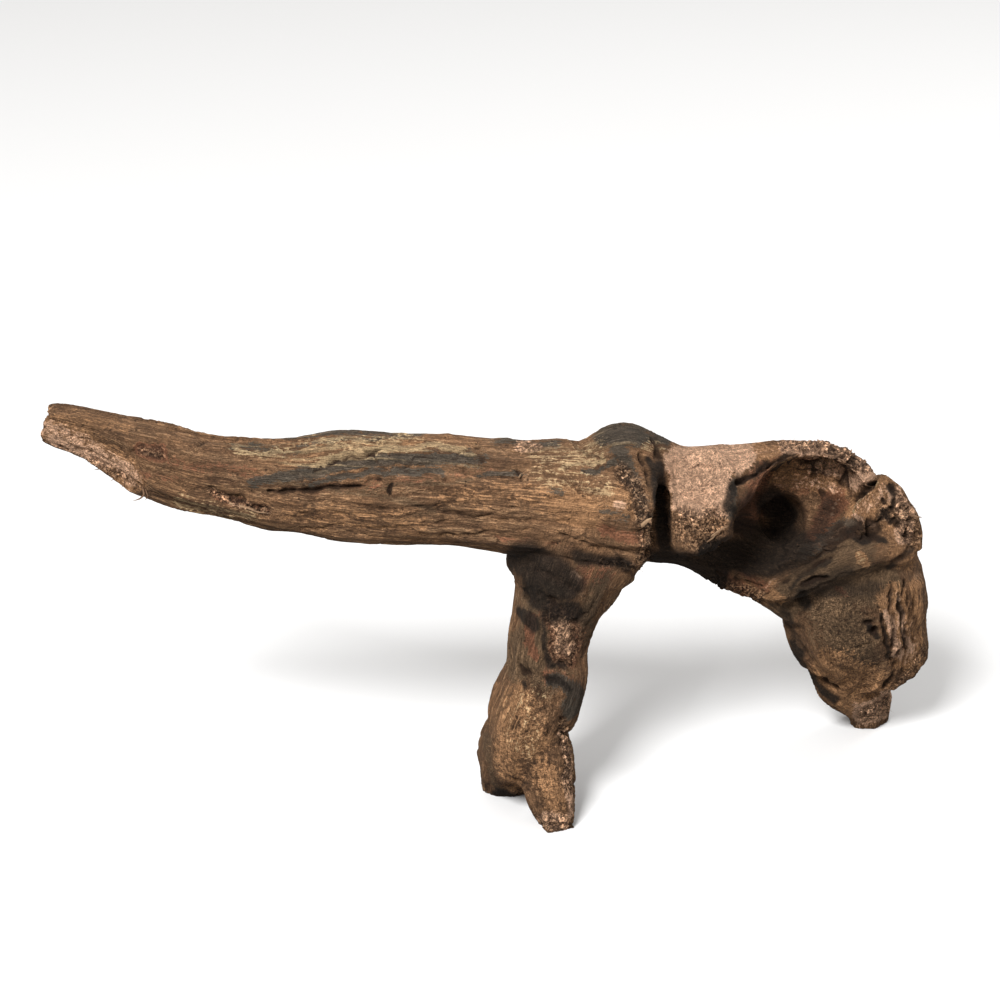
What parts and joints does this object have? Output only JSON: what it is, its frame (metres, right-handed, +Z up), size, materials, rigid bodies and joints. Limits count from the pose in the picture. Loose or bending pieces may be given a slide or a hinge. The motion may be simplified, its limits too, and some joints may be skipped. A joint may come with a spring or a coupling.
{
  "type": "driftwood",
  "caption": "Weathered root that stands on three low points: a long tapering stem, a short leg with toe and heel, and a hollow crown whose broken end forms the far foot.",
  "frame": {"origin": "middle of the floor plan, at the height of the surface that the root stands on", "axes": "+X along the stem from its thin end to the hollow crown, +Y from the side that the hollow opens to, to the back, +Z up"},
  "size_m": [0.4085, 0.1139, 0.201],
  "materials": {
    "driftwood": "dry, weathered, unfinished wood with torn, splintery ends"
  },
  "bodies": {
    "root": {"driftwood": "driftwood"}
  },
  "joints": []
}
